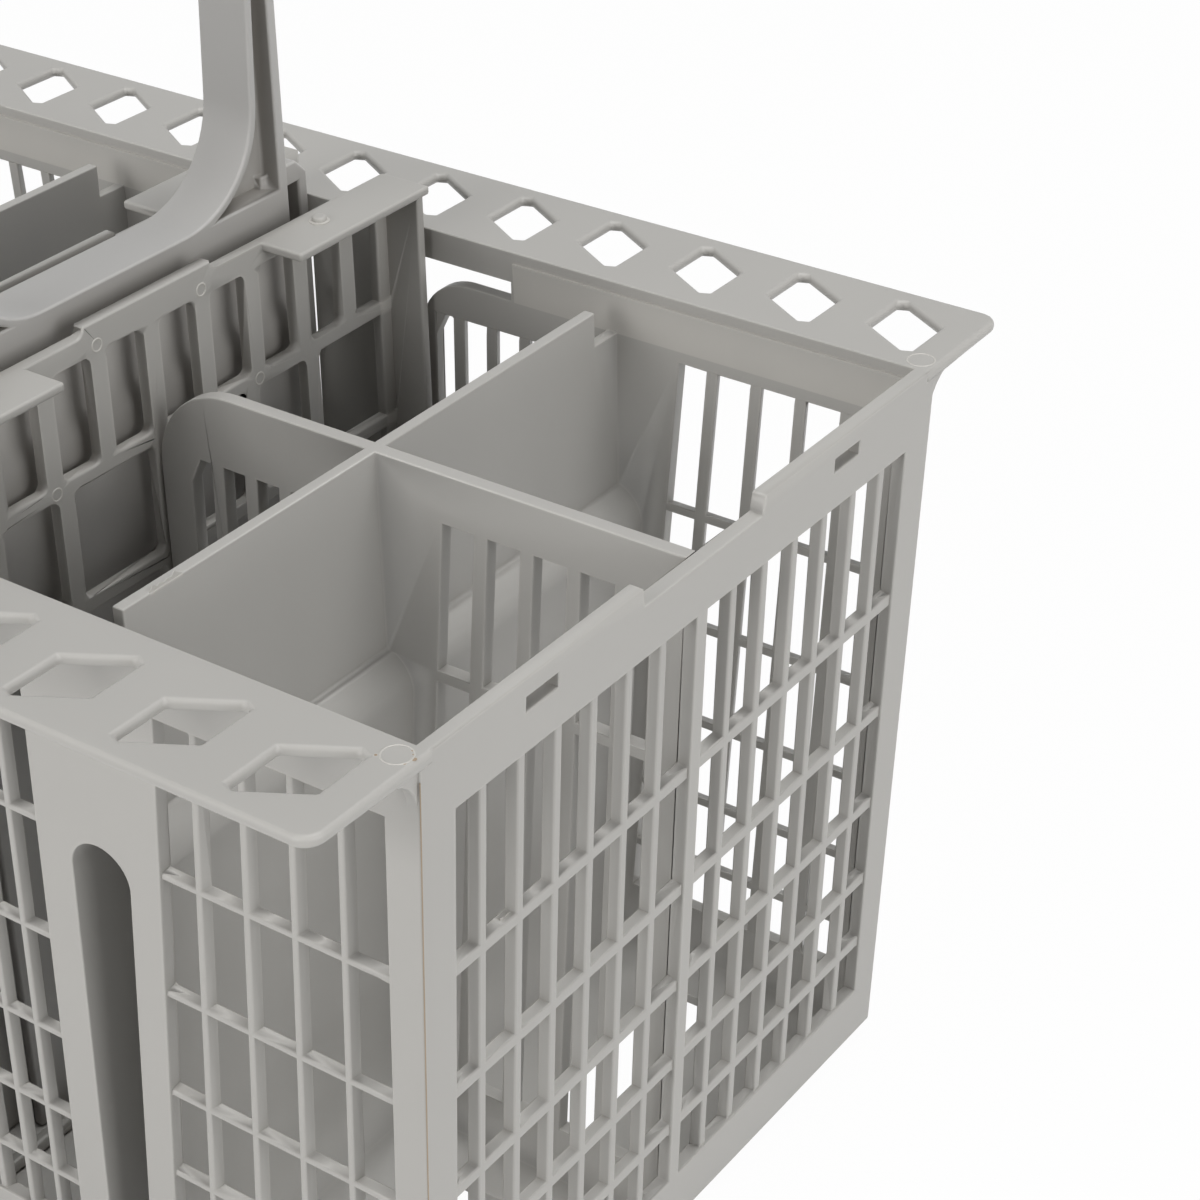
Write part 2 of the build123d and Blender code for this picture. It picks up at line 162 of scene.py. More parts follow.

# %% [markdown]
# ## Plastic finish
# The basket is satin plastic in a warm light grey. Three effects are shared by all its mouldings: the fine
# grain of the mould, cloudy flow marks, and light and shade painted into the colour: a painted highlight on
# outer edges and painted brownish shade in corners and hollows. Two node groups hold them, and each material
# sets the painted highlight and shade to its own values.

# %% Node group helper
def new_group(name, inputs, outputs):
    """An empty shader node group with float or colour sockets; returns its tree and its two end nodes."""
    group = bpy.data.node_groups.new(name, "ShaderNodeTree")
    for socket, kind, value in inputs:
        made = group.interface.new_socket(socket, in_out="INPUT", socket_type=kind)
        made.default_value = value
    for socket, kind in outputs:
        group.interface.new_socket(socket, in_out="OUTPUT", socket_type=kind)
    return group, group.nodes.new("NodeGroupInput"), group.nodes.new("NodeGroupOutput")


FLOAT, COLOUR = "NodeSocketFloat", "NodeSocketColor"

# %% Mould grain: a fine even bump, and the slower drift of the flow marks
grain_group, g_in, g_out = new_group(
    "mould_grain",
    [("Scale", FLOAT, 2200.0), ("Flow Scale", FLOAT, 28.0)],
    [("Height", FLOAT), ("Flow", FLOAT)])
g = grain_group
place = g.nodes.new("ShaderNodeTexCoord")
fine = g.nodes.new("ShaderNodeTexNoise")
fine.inputs["Detail"].default_value = 2.0
g.links.new(place.outputs["Object"], fine.inputs["Vector"])
g.links.new(g_in.outputs["Scale"], fine.inputs["Scale"])
flow = g.nodes.new("ShaderNodeTexNoise")
flow.inputs["Detail"].default_value = 3.0
flow.inputs["Distortion"].default_value = 0.6
g.links.new(place.outputs["Object"], flow.inputs["Vector"])
g.links.new(g_in.outputs["Flow Scale"], flow.inputs["Scale"])
g.links.new(fine.outputs["Fac"], g_out.inputs["Height"])
g.links.new(flow.outputs["Fac"], g_out.inputs["Flow"])
print("group:", g.name)

# %% Painted edge light: painted highlight on outer edges and painted brownish shade in corners and hollows
painted_light_group, e_in, e_out = new_group(
    "painted_edge_light",
    [("Base", COLOUR, (0.5, 0.5, 0.5, 1)),
     ("Pale", COLOUR, (0.7, 0.7, 0.68, 1)),
     ("Shade", COLOUR, (0.2, 0.18, 0.16, 1)),
     ("Edge Amount", FLOAT, 0.5), ("Shade Amount", FLOAT, 0.5),
     ("Shade Reach", FLOAT, 0.004), ("Flow", FLOAT, 0.5)],
    [("Colour", COLOUR)])
e = painted_light_group
# Painted highlight: outer edges, found by occlusion inside the surface, are mixed towards the pale colour as if
# they caught the light.
outer = e.nodes.new("ShaderNodeAmbientOcclusion")
outer.inside = True
outer.samples = 2
outer.inputs["Distance"].default_value = 0.5 * mm
# Painted shade: corners, hollows and recesses within the shade reach are mixed towards the brownish shade
# colour.
inner = e.nodes.new("ShaderNodeAmbientOcclusion")
inner.samples = 2
e.links.new(e_in.outputs["Shade Reach"], inner.inputs["Distance"])


def group_math(tree, operation, first, second):
    node = tree.nodes.new("ShaderNodeMath")
    node.operation = operation
    node.use_clamp = True
    for k, value in enumerate((first, second)):
        if isinstance(value, float):
            node.inputs[k].default_value = value
        else:
            tree.links.new(value, node.inputs[k])
    return node.outputs[0]


def group_mix(tree, factor, first, second):
    node = tree.nodes.new("ShaderNodeMix")
    node.data_type = "RGBA"
    tree.links.new(factor, node.inputs["Factor"])
    tree.links.new(first, node.inputs["A"])
    tree.links.new(second, node.inputs["B"])
    return node.outputs["Result"]


painted_highlight_mask = group_math(e, "SUBTRACT", 1.0, outer.outputs["AO"])
painted_highlight_mask = group_math(e, "MULTIPLY", painted_highlight_mask, e_in.outputs["Edge Amount"])
painted_highlight_mask = group_math(e, "MULTIPLY", painted_highlight_mask, group_math(e, "ADD", e_in.outputs["Flow"], 0.4))
painted_shade_mask = group_math(e, "SUBTRACT", 1.0, inner.outputs["AO"])
painted_shade_mask = group_math(e, "MULTIPLY", painted_shade_mask, e_in.outputs["Shade Amount"])
painted_light_colour = group_mix(e, painted_shade_mask, e_in.outputs["Base"], e_in.outputs["Shade"])
painted_light_colour = group_mix(e, painted_highlight_mask, painted_light_colour, e_in.outputs["Pale"])
e.links.new(painted_light_colour, e_out.inputs["Colour"])
print("group:", e.name)


# %% Plastic materials
def moulded_plastic(name, base, pale, shade, roughness, edge_amount, shade_amount, shade_reach):
    """A satin moulded plastic with grain, flow marks, a painted highlight on outer edges and painted shade in
    hollows; shade_reach is in mm.
    """
    material = bpy.data.materials.new(name)
    material.use_nodes = True
    tree = material.node_tree
    bsdf = tree.nodes["Principled BSDF"]
    grain = tree.nodes.new("ShaderNodeGroup")
    grain.node_tree = grain_group
    edge = tree.nodes.new("ShaderNodeGroup")
    edge.node_tree = painted_light_group
    # Two close greys drift into each other with the flow of the melt.
    drift = tree.nodes.new("ShaderNodeMix")
    drift.data_type = "RGBA"
    drift.inputs["A"].default_value = (*[c * 0.965 for c in base], 1)
    drift.inputs["B"].default_value = (*[c * 1.03 for c in base], 1)
    tree.links.new(grain.outputs["Flow"], drift.inputs["Factor"])
    tree.links.new(drift.outputs["Result"], edge.inputs["Base"])
    # Pale is the colour of the painted highlight on outer edges, Shade that of the painted shade in corners and
    # hollows.
    edge.inputs["Pale"].default_value = (*pale, 1)
    edge.inputs["Shade"].default_value = (*shade, 1)
    edge.inputs["Edge Amount"].default_value = edge_amount
    edge.inputs["Shade Amount"].default_value = shade_amount
    edge.inputs["Shade Reach"].default_value = shade_reach * mm
    tree.links.new(grain.outputs["Flow"], edge.inputs["Flow"])
    tree.links.new(edge.outputs["Colour"], bsdf.inputs["Base Color"])
    rough = tree.nodes.new("ShaderNodeMapRange")
    rough.inputs["To Min"].default_value = roughness - 0.05
    rough.inputs["To Max"].default_value = roughness + 0.06
    tree.links.new(grain.outputs["Flow"], rough.inputs["Value"])
    tree.links.new(rough.outputs["Result"], bsdf.inputs["Roughness"])
    bump = tree.nodes.new("ShaderNodeBump")
    bump.inputs["Strength"].default_value = 0.08
    bump.inputs["Distance"].default_value = 0.05 * mm
    tree.links.new(grain.outputs["Height"], bump.inputs["Height"])
    tree.links.new(bump.outputs["Normal"], bsdf.inputs["Normal"])
    bsdf.inputs["IOR"].default_value = 1.49
    bsdf.inputs["Specular IOR Level"].default_value = 0.4
    return material


warm_grey = (0.43, 0.424, 0.408)
handle_grey = (0.475, 0.472, 0.464)
panel_grey = (0.425, 0.419, 0.402)
# rust_brown is the real colour of the stains; the paler rust beside it is a painted highlight on their edges.
rust_brown, rust_edge_highlight = (0.3, 0.23, 0.16), (0.42, 0.34, 0.26)
# The pale edge colour is a painted highlight on outer edges, and the brown colour a painted shade in corners
# and hollows.
edge_highlight_colour = (0.62, 0.605, 0.57)
painted_shade_brown = (0.25, 0.228, 0.2)
# Painted shade reaches 4 mm on the basket and 10 mm on the panels. On the handle it reaches 14 mm, so its
# recess and its stem behind the panel windows are painted dark.
basket_plastic = moulded_plastic(
    "basket_plastic", warm_grey, edge_highlight_colour, painted_shade_brown,
    roughness=0.42, edge_amount=0.6, shade_amount=0.4, shade_reach=4.0)
handle_plastic = moulded_plastic(
    "handle_plastic", handle_grey, edge_highlight_colour, painted_shade_brown,
    roughness=0.4, edge_amount=0.5, shade_amount=0.85, shade_reach=14.0)
panel_plastic = moulded_plastic(
    "panel_plastic", panel_grey, edge_highlight_colour, painted_shade_brown,
    roughness=0.44, edge_amount=0.6, shade_amount=0.6, shade_reach=10.0)
rust_tint = moulded_plastic(
    "seam_tint", rust_brown, rust_edge_highlight, painted_shade_brown,
    roughness=0.5, edge_amount=0.3, shade_amount=0.4, shade_reach=4.0)
print("materials:", basket_plastic.name, handle_plastic.name, panel_plastic.name, rust_tint.name)


# %% [markdown]
# ## Mouldings with soft edges
# A mould never leaves a knife edge: the flange has a nearly full round along its rim, the bars a small one.
# A modifier can only round all edges alike, so each CAD mesh is copied, its flat triangles are joined into
# larger faces, and chosen edges are rounded one set after another. The copy stands for the CAD node. Large
# flat faces then lend their normal to the narrow rounds beside them, so that no streaks run across a wall.

# %% Copying and rounding helpers
def clean_copy(node):
    """An editable copy of a CAD node's mesh with doubles merged and flat faces joined."""
    bm = bmesh.new()
    bm.from_mesh(nodes[node].data)
    bmesh.ops.remove_doubles(bm, verts=bm.verts, dist=0.005 * mm)
    join_flat_faces(bm)
    return bm


def join_flat_faces(bm):
    bmesh.ops.dissolve_limit(
        bm, angle_limit=math.radians(0.4), use_dissolve_boundaries=False,
        verts=bm.verts, edges=bm.edges)


def sharp_edges(bm, least_deg, test, kinds):
    """Edges that fold by more than least_deg and whose middle passes the test, in mm. kinds says whether
    "outer" edges, "hollow" corners or both are wanted."""
    found = []
    for edge in bm.edges:
        if len(edge.link_faces) != 2 or ("outer" if edge.is_convex else "hollow") not in kinds:
            continue
        if edge.calc_face_angle(0) > math.radians(least_deg):
            middle = (edge.verts[0].co + edge.verts[1].co) / 2 / mm
            along = (edge.verts[1].co - edge.verts[0].co).normalized()
            if test is None or test(middle, along):
                found.append(edge)
    return found


def even_triangles(bm):
    """Cuts the flat faces into well shaped triangles, so that a round never has to follow a long sliver."""
    bmesh.ops.triangulate(bm, faces=bm.faces, quad_method="BEAUTY", ngon_method="BEAUTY")
    inner = [e for e in bm.edges if len(e.link_faces) == 2 and e.calc_face_angle(0) < math.radians(0.3)]
    bmesh.ops.beautify_fill(bm, faces=bm.faces, edges=inner, use_restrict_tag=False, method="ANGLE")


def near_any(edge, places, reach):
    """True where an end or the middle of the edge is within reach of one of the places."""
    ends = [v.co for v in edge.verts]
    return any(places.find(p)[2] < reach for p in (*ends, (ends[0] + ends[1]) / 2))


def leaves_surface(point, surface, width, kinds):
    """True for a point that is further from the old surface than a round may be, or on its wrong side."""
    place, normal, face, gap = surface.find_nearest(point)
    allowed = 0.65 * width if "hollow" in kinds else 0.04
    return gap > 1.1 * width * mm or (point - place).dot(normal) > allowed * mm


def round_edges(bm, width, segments, least_deg, test=None, kinds=("outer",)):
    """Rounds sharp edges by width in mm. A round that would leave the surface is taken back: its edges are
    skipped and the rest is tried again. Returns the rounded mesh."""
    surface = BVHTree.FromBMesh(bm)
    skipped = []
    for attempt in range(8):
        trial = bm.copy()
        edges = sharp_edges(trial, least_deg, test, kinds)
        if skipped:
            places = KDTree(len(skipped))
            for k, place in enumerate(skipped):
                places.insert(place, k)
            places.balance()
            edges = [e for e in edges if not near_any(e, places, (width + 0.4) * mm)]
        bmesh.ops.bevel(
            trial, geom=edges, offset=width * mm, offset_type="OFFSET", segments=segments,
            profile=0.5, affect="EDGES", clamp_overlap=False, loop_slide=False)
        strays = [v for v in trial.verts if leaves_surface(v.co, surface, width, kinds)]
        if not strays:
            break
        skipped += [v.co.copy() for v in strays]
        skipped += [e.other_vert(v).co.copy() for v in strays for e in v.link_edges]
        trial.free()
        trial = None
    print("rounded", len(edges), "edges by", width, "mm in", attempt + 1, "tries")
    if trial is None:
        return bm
    bm.free()
    return trial


def finish_piece(bm, name, material, node=None):
    """Turns a bmesh into a piece that rides on the root body and takes a material slot."""
    mesh = bpy.data.meshes.new(name)
    bm.normal_update()
    bm.to_mesh(mesh)
    bm.free()
    mesh.materials.append(material)
    mesh.shade_smooth()
    mesh.set_sharp_from_angle(angle=math.radians(50))
    piece = bpy.data.objects.new(name, mesh)
    scene.collection.objects.link(piece)
    flat = piece.modifiers.new("flat_faces", "WEIGHTED_NORMAL")
    flat.keep_sharp = True
    flat.weight = 100
    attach(piece, "root")
    if node:
        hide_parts(node)
    print(name, "faces:", len(mesh.polygons))
    return piece


# %% [markdown]
# ## Ridged bars of the grid
# On the real basket the bars are ridges: narrow in front, wider at the back, and nearly as deep as the wall.
# The CAD model has them as a plain lattice. The copy keeps all its corners, and each corner of a bar is
# slid along the wall and through it, to the ridge's own width and depth. One wall is described by a point
# and three directions, so the same few lines serve the end walls and the side walls.

# %% Sizes of the lattice and of the ridges
end_draft, side_draft = math.radians(2.5), math.radians(0.55)
end_face, side_face = 111.2, 62.4
rail_height = 11.65
openings = [25.4, 18.9, 16.45, 14.0, 11.55, 9.1]
level_bar = 2.0
lattice_front, lattice_back = 0.9, 1.65
ridge_front, ridge_back = 0.45, 2.3
near = 0.12
walls = (("end", -1), ("end", 1), ("side", -1), ("side", 1))


def wall_axes(kind, sign):
    """Middle of the top edge, in mm, and the along, up and outward directions of a wall's outer face."""
    if kind == "end":
        out = Vector((sign * math.cos(end_draft), 0, -math.sin(end_draft)))
        rise = Vector((sign * math.sin(end_draft), 0, math.cos(end_draft)))
        return Vector((sign * end_face, 0, rim_height)), Vector((0, 1, 0)), rise, out
    out = Vector((0, sign * math.cos(side_draft), -math.sin(side_draft)))
    rise = Vector((0, sign * math.sin(side_draft), math.cos(side_draft)))
    return Vector((0, sign * side_face, rim_height)), Vector((1, 0, 0)), rise, out


def level_bars():
    """Top and bottom depth of the level bars between the rows of windows."""
    bars, depth = [], rail_height
    for opening in openings[:-1]:
        depth += opening
        bars.append((depth, depth + level_bar))
        depth += level_bar
    return bars


def bar_middles(low, high, count, bar):
    """Middles of the bars between count equal windows from low to high."""
    window = (high - low - (count - 1) * bar) / count
    return [low + (k + 1) * window + (k + 0.5) * bar for k in range(count - 1)]


lattice_bar = 2.5
side_slope, end_slope = math.tan(side_draft), math.tan(end_draft)
# Borders of the side grids: place at the rim and how far it leans in per mm of depth.
side_borders = ((67.5, 0.083), (105.4, end_slope), (17.8, 0.0125), (42.6, 0.036))


def upright_bars(kind, depth):
    """Pairs of lattice bar middle and ridge middle, in mm along the wall, at a depth."""
    if kind == "end":
        pairs = [(8.55 + 8.09 * k, 8.78 + 8.06 * k) for k in range(6)]
    else:
        outer_low, outer_high, inner_low, inner_high = (start - lean * depth for start, lean in side_borders)
        middles = bar_middles(outer_low, outer_high, 5, lattice_bar)
        middles += bar_middles(inner_low, inner_high, 4, lattice_bar)
        pairs = [(middle, middle - 0.6) for middle in middles]
    return pairs


ridge_width = {"end": {"front": 1.5, "back": 2.3}, "side": {"front": 1.0, "back": 2.3}}
ridge_level = {
    "end": {"bottoms": (39.2, 60.2, 78.3, 93.9, 107.3), "front": 2.0, "back": 2.7},
    "side": {"bottoms": (38.2, 59.3, 78.1, 94.2, 107.8), "front": 1.0, "back": 1.6},
}
# Edges of the centre and corner posts of the end walls: place in the lattice and on the real basket.
end_edges = {2.3: 1.35, 54.2: 55.2}
# Reach of the grids along their walls, and the depth that they end above.
grid_span = {"end": (0.0, 56.0), "side": (16.0, 106.0)}
grid_bottom, wall_thickness = 118.0, 2.4


# %% Slide the corners of the lattice to the ridges
def ridge_place(kind, along, depth, layer):
    """New place along the wall and new depth for a corner of the lattice."""
    reach, new_reach, new_depth = abs(along), abs(along), depth
    form = ridge_level[kind]
    for (top, bottom), new_bottom in zip(level_bars(), form["bottoms"]):
        extra = (form["back"] - form["front"]) / 2 if layer == "back" else 0.0
        if abs(depth - top) < near:
            new_depth = new_bottom - form["front"] - extra
        if abs(depth - bottom) < near:
            new_depth = new_bottom + extra
    for (old, _), (_, new) in zip(upright_bars(kind, depth), upright_bars(kind, new_depth)):
        for edge in (-1, 1):
            if abs(reach - (old + edge * lattice_bar / 2)) < near:
                new_reach = new + edge * ridge_width[kind][layer] / 2
    if kind == "side":
        for start, lean in side_borders:
            if abs(reach - (start - lean * depth)) < near:
                new_reach = start - lean * new_depth
    return math.copysign(new_reach, along), new_depth


def make_ridges(bm):
    """Moves the corners of all four grids; returns how many were moved."""
    moved = 0
    for kind, sign in walls:
        top_middle, run, rise, out = wall_axes(kind, sign)
        for vert in bm.verts:
            offset = vert.co / mm - top_middle
            along, depth, inside = offset.dot(run), -offset.dot(rise), -offset.dot(out)
            low, high = grid_span[kind]
            in_grid = rail_height - 1.0 < depth < grid_bottom and low < abs(along) < high
            if not in_grid or not -0.1 < inside < wall_thickness + 0.2:
                continue
            if kind == "end":
                for old, new in end_edges.items():
                    if abs(abs(along) - old) < near:
                        along = math.copysign(new, along)
            layer = None
            if abs(inside - lattice_front) < near:
                layer, inside = "front", ridge_front
            elif abs(inside - lattice_back) < near:
                layer, inside = "back", ridge_back
            if layer:
                along, depth = ridge_place(kind, along, depth, layer)
            vert.co = (top_middle + run * along - rise * depth - out * inside) * mm
            moved += layer is not None
    return moved


# %% [markdown]
# ## Webs under the flange ends
# Where a flange meets an end wall, a small web with a hollow edge stiffens the corner, almost flush with the
# end face. The CAD model has it as a straight triangle, set back further. Its corners are moved out towards
# the face, its long edge is cut into short ones, and these are laid on an arc.

# %% Hollow webs
flange_under = rim_height - 1.8
web_reach, web_drop, web_depth = 6.0, 6.5, 1.8
web_gap = 0.35
web_cuts = 5
# Where the CAD model's webs lie: their sides in X with the middle between them, and their reach in Y.
old_web_x, old_web_middle = (107.0, 109.0), 108.0
old_web_y = (62.0, 70.0)


def web_place(spot, new_y, new_z):
    """The new place of a web's corner: just behind the end face for its outer side, or a web's depth more."""
    face_x = end_face - end_slope * (rim_height - new_z) - web_gap
    new_x = face_x if abs(spot.x) > old_web_middle else face_x - web_depth
    return Vector((math.copysign(new_x, spot.x), math.copysign(new_y, spot.y), new_z)) * mm


def on_line(spot, start, end):
    """True for a spot, in mm, on the line between start and end."""
    place, share = intersect_point_line(spot, start, end)
    return -0.01 < share < 1.01 and (spot - place).length < 0.02


def hollow_webs(bm):
    """Moves out and hollows the four webs; returns how many edges were bent."""
    bent = []
    for edge in bm.edges:
        a, b = (v.co / mm for v in edge.verts)
        middle, span = (a + b) / 2, b - a
        on_web = old_web_x[0] < abs(middle.x) < old_web_x[1] and old_web_y[0] < abs(middle.y) < old_web_y[1]
        slanted = abs(span.y) > 3.0 and abs(span.z) > 3.0
        if on_web and slanted and rim_height - 10.0 < middle.z < rim_height:
            bent.append(edge)
    lines = [[v.co / mm for v in edge.verts] for edge in bent]
    tip = max(abs(p.y) for line in lines for p in line)
    root = min(abs(p.y) for line in lines for p in line)
    bmesh.ops.subdivide_edges(bm, edges=bent, cuts=web_cuts)
    for vert in bm.verts:
        spot = vert.co / mm
        under_flange = abs(spot.z - flange_under) < 0.02 and old_web_x[0] < abs(spot.x) < old_web_x[1]
        if any(on_line(spot, start, end) for start, end in lines):
            angle = (abs(spot.y) - root) / (tip - root) * math.pi / 2
            new_y = root + web_reach * (1 - math.cos(angle))
            vert.co = web_place(spot, new_y, flange_under - web_drop * (1 - math.sin(angle)))
        elif under_flange and abs(abs(spot.y) - root) < 0.1:
            vert.co = web_place(spot, abs(spot.y), spot.z)
    return len(lines)


# %% Basket moulding
flange_start = 62.5
web_zone = (106.0, 69.0)


def on_flange(middle, along):
    """True on the flanges, but not where a web meets the underside."""
    at_web = abs(middle.x) > web_zone[0] and abs(middle.y) < web_zone[1] and middle.z < flange_under + 0.05
    return abs(middle.y) > flange_start and middle.z > rim_height - 2.5 and not at_web


def on_grid_front(middle, along):
    """True just behind the outer face of a wall, where the ridges end in front."""
    for kind, sign in walls:
        top_middle, run, rise, out = wall_axes(kind, sign)
        offset = middle - top_middle
        if abs(-offset.dot(out) - ridge_front) < near and -offset.dot(rise) > rail_height - 1.0:
            return True
    return False


def elsewhere(middle, along):
    return not on_flange(middle, along) and not on_grid_front(middle, along)


bm = clean_copy("basket")
print("corners moved:", make_ridges(bm))
print("web edges bent:", hollow_webs(bm))
join_flat_faces(bm)
even_triangles(bm)
bm = round_edges(bm, width=0.75, segments=4, least_deg=20, test=on_flange, kinds=("outer", "hollow"))
bm = round_edges(bm, width=0.3, segments=3, least_deg=40, test=on_grid_front)
bm = round_edges(bm, width=0.25, segments=2, least_deg=40, test=elsewhere)
# Rounding can leave a corner a hair outside the end faces, so it is brought back.
for vert in bm.verts:
    vert.co.x = max(-end_face * mm, min(end_face * mm, vert.co.x))
finish_piece(bm, "basket_moulding", basket_plastic, "basket")

# %% Handle moulding
bm = clean_copy("handle")
even_triangles(bm)
bm = round_edges(bm, width=0.45, segments=3, least_deg=35)
finish_piece(bm, "handle_moulding", handle_plastic, "handle")

# %% Grille panels: rounded window corners first, then all edges
post_low, post_high = 53.7, 56.7


def at_window_corner(middle, along):
    """True on the edges through the plate, short of the end posts, which are made below."""
    return abs(along.x) > 0.9 and abs(middle.y) < post_low - 0.7


for node, name in (("panel_front", "front_grille"), ("panel_back", "back_grille")):
    bm = clean_copy(node)
    even_triangles(bm)
    bm = round_edges(bm, width=1.3, segments=3, least_deg=60, test=at_window_corner, kinds=("hollow",))
    bm = round_edges(bm, width=0.4, segments=2, least_deg=40)
    finish_piece(bm, name, panel_plastic, node)

# %% End posts of the panels, which close the outer row of windows
post_front, post_back = 10.87, 8.93
post_bottom, post_top = 3.0, 136.0
bm = bmesh.new()
for x_sign in (-1, 1):
    for y_sign in (-1, 1):
        middle = Vector((
            x_sign * (post_front + post_back), y_sign * (post_low + post_high), post_bottom + post_top)) / 2
        size = Vector((post_front - post_back, post_high - post_low, post_top - post_bottom))
        place = Matrix.Translation(middle * mm) @ Matrix.Diagonal((*(size * mm), 1))
        bmesh.ops.create_cube(bm, size=1.0, matrix=place)
bm = round_edges(bm, width=0.4, segments=2, least_deg=40)
finish_piece(bm, "panel_end_posts", panel_plastic)

# %% [markdown]
# ## Marks of the mould
# Small round pins push a moulding out of its mould and leave faint rings: one at each flange corner and
# several on the panels. The shelf of each panel also carries a low peg. A ring is a thin torus let half
# into the surface, so it shows as a fine raised line.

# %% Rings and pegs
def add_ring(bm, centre, normal, radius, tube):
    """A thin torus in mm, lying on a face with the given normal."""
    turn = normal.to_track_quat("Z", "Y").to_matrix()
    around, about = 28, 6
    loops = []
    for i in range(around):
        a = 2 * math.pi * i / around
        loop = []
        for j in range(about):
            b = 2 * math.pi * j / about
            reach = radius + tube * math.cos(b)
            local = Vector((reach * math.cos(a), reach * math.sin(a), tube * math.sin(b) * 0.6))
            loop.append(bm.verts.new((centre + turn @ local) * mm))
        loops.append(loop)
    for i in range(around):
        for j in range(about):
            ring, after = loops[i], loops[(i + 1) % around]
            bm.faces.new((ring[j], after[j], after[(j + 1) % about], ring[(j + 1) % about]))


up_z = Vector((0, 0, 1))
bm = bmesh.new()
for x in (-108.3, 108.3):
    for y in (-63.0, 63.0):
        add_ring(bm, Vector((x, y, rim_height)), up_z, 2.1, 0.13)
finish_piece(bm, "flange_pin_rings", basket_plastic)


def add_peg(bm, centre, radius, height):
    """A low peg with a rounded top, turned round the Z axis."""
    outline = [(1.35, -0.1), (1.35, 0.12), (1.0, 0.22), (0.97, 0.75), (0.85, 0.93), (0.5, 1.0)]
    around = 24
    loops = []
    for r, h in outline:
        loop = []
        for i in range(around):
            a = 2 * math.pi * i / around
            local = Vector((r * radius * math.cos(a), r * radius * math.sin(a), h * height))
            loop.append(bm.verts.new((centre + local) * mm))
        loops.append(loop)
    for low, high in zip(loops, loops[1:]):
        for i in range(around):
            bm.faces.new((low[i], low[(i + 1) % around], high[(i + 1) % around], high[i]))
    bm.faces.new(loops[-1])


panel_face, shelf_top = 10.9, rim_height + 8.7
for sign, name in ((1, "front"), (-1, "back")):
    bm = bmesh.new()
    for y in (-37.5, 37.5):
        add_peg(bm, Vector((sign * 12.9, y, shelf_top)), 1.25, 0.9)
    for y, z in ((11.45, 6.35), (22.9, -13.7)):
        for side in (-1, 1):
            add_ring(bm, Vector((sign * panel_face, side * y, rim_height + z)), Vector((sign, 0, 0)), 1.0, 0.16)
    finish_piece(bm, name + "_grille_marks", panel_plastic)

# %% [markdown]
# ## Ledge under the flange
# Just under the flange, the inside of each long wall steps in by a hair and then runs back to the wall: the
# line where two halves of the mould meet. A long thin wedge gives it, and its flat top catches the light.

# %% Ledges along both long walls
def add_wedge(bm, corners, start, end):
    """A prism: corners are (y, z) points in mm, and start and end are its X places."""
    rings = [[bm.verts.new(Vector((x, y, z)) * mm) for y, z in corners] for x in (start, end)]
    count = len(corners)
    for k in range(count):
        bm.faces.new((rings[0][k], rings[0][(k + 1) % count], rings[1][(k + 1) % count], rings[1][k]))
    bm.faces.new(rings[1])
    bm.faces.new(list(reversed(rings[0])))


ledge_depth, ledge_step, ledge_run = 1.95, 0.35, 7.0
inner_face = 60.0
bm = bmesh.new()
for sign in (-1, 1):
    wall_at = [inner_face - side_slope * (ledge_depth + drop) for drop in (0.0, ledge_run)]
    section = [
        (sign * (wall_at[0] + 0.2), rim_height - ledge_depth),
        (sign * (wall_at[0] - ledge_step), rim_height - ledge_depth),
        (sign * (wall_at[0] - ledge_step), rim_height - ledge_depth - 0.3),
        (sign * (wall_at[1] + 0.02), rim_height - ledge_depth - ledge_run),
    ]
    for low, high in ((-108.6, -34.2), (34.2, 108.6)):
        add_wedge(bm, section, low, high)
bmesh.ops.recalc_face_normals(bm, faces=bm.faces)
finish_piece(bm, "wall_ledges", basket_plastic)

# %% [markdown]
# ## Torn gate marks
# One divider has a thin torn edge where the mould was filled, and in one window of the end grid a sliver of
# film is left. Both are wafers of plastic with a ragged outline, made from a short list of steps.

# %% Burr on the divider and film in the grid
def add_wafer(bm, outline, depth_dir, thickness):
    """A flat wafer: the outline's points in mm, given a thickness along depth_dir."""
    shift = depth_dir * thickness
    front = [bm.verts.new((p + shift / 2) * mm) for p in outline]
    back = [bm.verts.new((p - shift / 2) * mm) for p in outline]
    count = len(outline)
    for k in range(count):
        bm.faces.new((front[k], front[(k + 1) % count], back[(k + 1) % count], back[k]))
    bm.faces.new(list(reversed(front)))
    bm.faces.new(back)


def ragged_edge(x, start, stop, step, top, heights, bottom):
    """Outline in a plane of constant X: a ragged top from start to stop along Y, and a straight bottom."""
    outline = [Vector((x, start + step * k, top + h)) for k, h in enumerate(heights)]
    return outline + [Vector((x, stop, bottom)), Vector((x, start, bottom))]


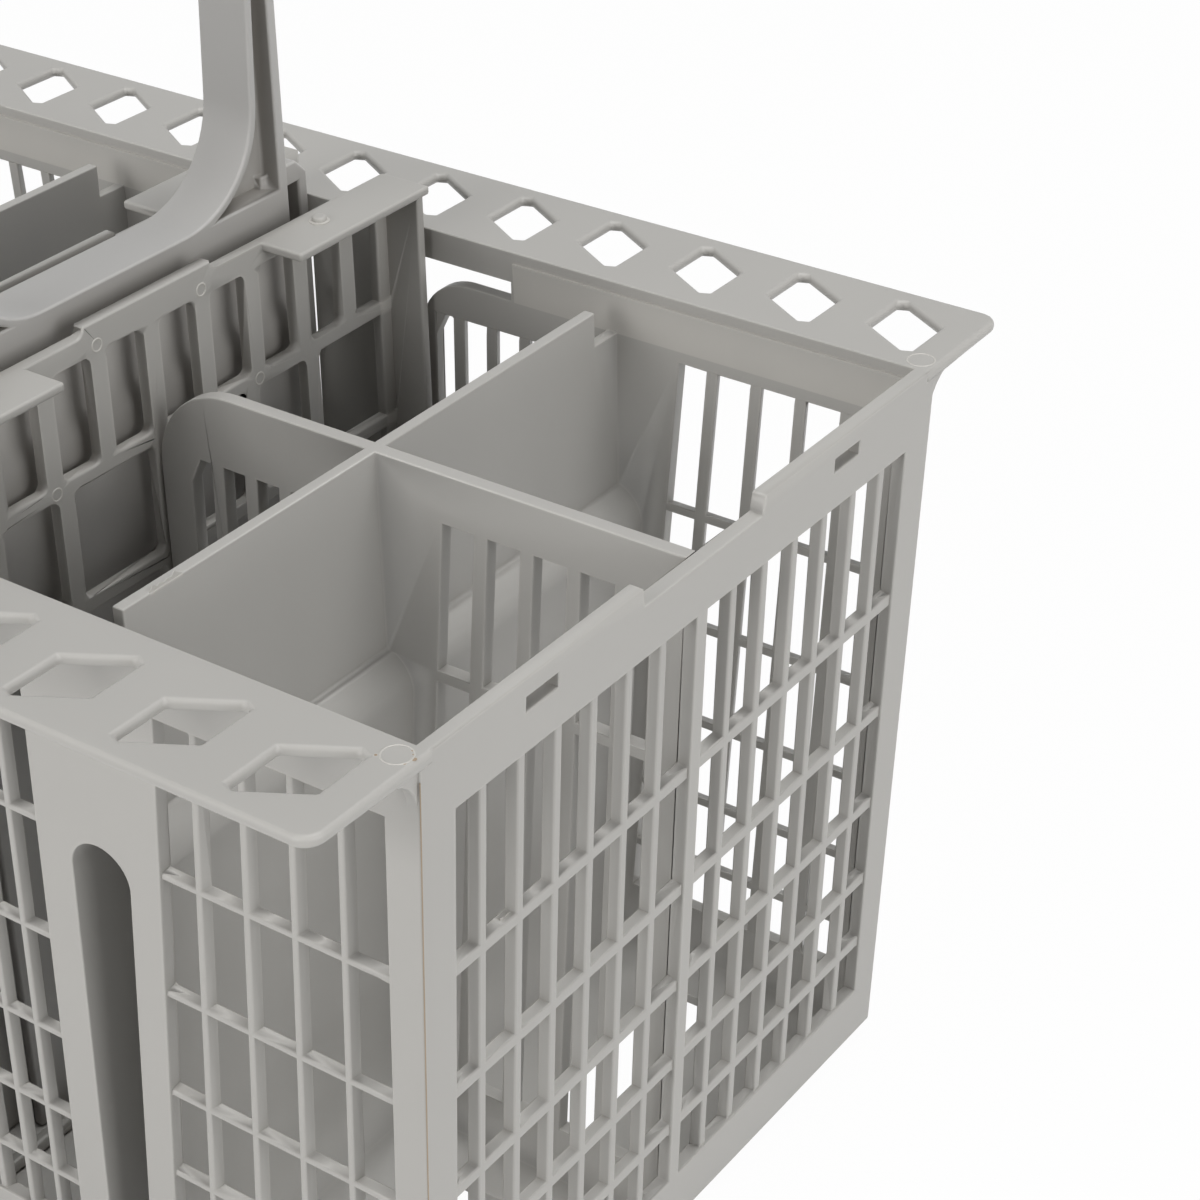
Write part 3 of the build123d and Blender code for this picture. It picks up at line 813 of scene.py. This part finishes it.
along_x = Vector((1, 0, 0))
divider_top = rim_height - 2.9
divider_face = 53.7 + 0.85
burr_heights = (0.0, 0.8, 0.3, 0.55, 0.25, 0.5, 0.35, 0.9, 0.4, 0.0)
film_depth = 39.0
film_x = end_face - end_slope * film_depth - 1.2
film_bottom = rim_height - film_depth
film_heights = (0.75, 0.45, 0.62, 0.2, 0.36, 0.0)
bm = bmesh.new()
burr = ragged_edge(divider_face, -48.6, -42.2, 0.71, divider_top, burr_heights, divider_top - 0.4)
add_wafer(bm, burr, along_x, 0.14)
film = ragged_edge(film_x, -44.4, -39.65, 0.95, film_bottom + 1.6, film_heights, film_bottom)
add_wafer(bm, film, along_x, 0.15)
bmesh.ops.recalc_face_normals(bm, faces=bm.faces)
finish_piece(bm, "torn_gate_marks", basket_plastic)

# %% [markdown]
# ## Stains at one corner
# The upright corner that faces the camera has a hair of brownish tint along its edge. Where the flange meets
# the end rail there, a few brown specks are left beside the pin ring. Both are thin bodies of their own.

# %% Tinted edge and specks
seam_width = 0.2
seam_top, seam_bottom = 126.5, 1.0
bm = bmesh.new()
rings = []
for z in (seam_top, seam_bottom):
    edge_x = end_face - end_slope * (rim_height - z) - 0.02
    edge_y = side_face - side_slope * (rim_height - z) - 0.02
    corners = [(1, 0), (0, 1), (-1, 0), (0, -1)]
    middle = Vector((edge_x, -edge_y, z))
    rings.append([bm.verts.new((middle + Vector((a, b, 0)) * seam_width / 2) * mm) for a, b in corners])
for k in range(4):
    bm.faces.new((rings[0][k], rings[0][(k + 1) % 4], rings[1][(k + 1) % 4], rings[1][k]))
bm.faces.new(rings[0])
bm.faces.new(list(reversed(rings[1])))
specks = [
    (106.2, -64.5, 0.3), (109.3, -61.3, 0.26), (110.5, -62.6, 0.42), (110.2, -64.0, 0.3), (109.9, -61.9, 0.22)]
for x, y, radius in specks:
    place = Matrix.Translation(Vector((x, y, rim_height - 0.01)) * mm)
    bmesh.ops.create_cone(
        bm, cap_ends=True, segments=14, radius1=radius * mm, radius2=0.6 * radius * mm,
        depth=0.06 * mm, matrix=place)
bmesh.ops.recalc_face_normals(bm, faces=bm.faces)
finish_piece(bm, "corner_stains", rust_tint)
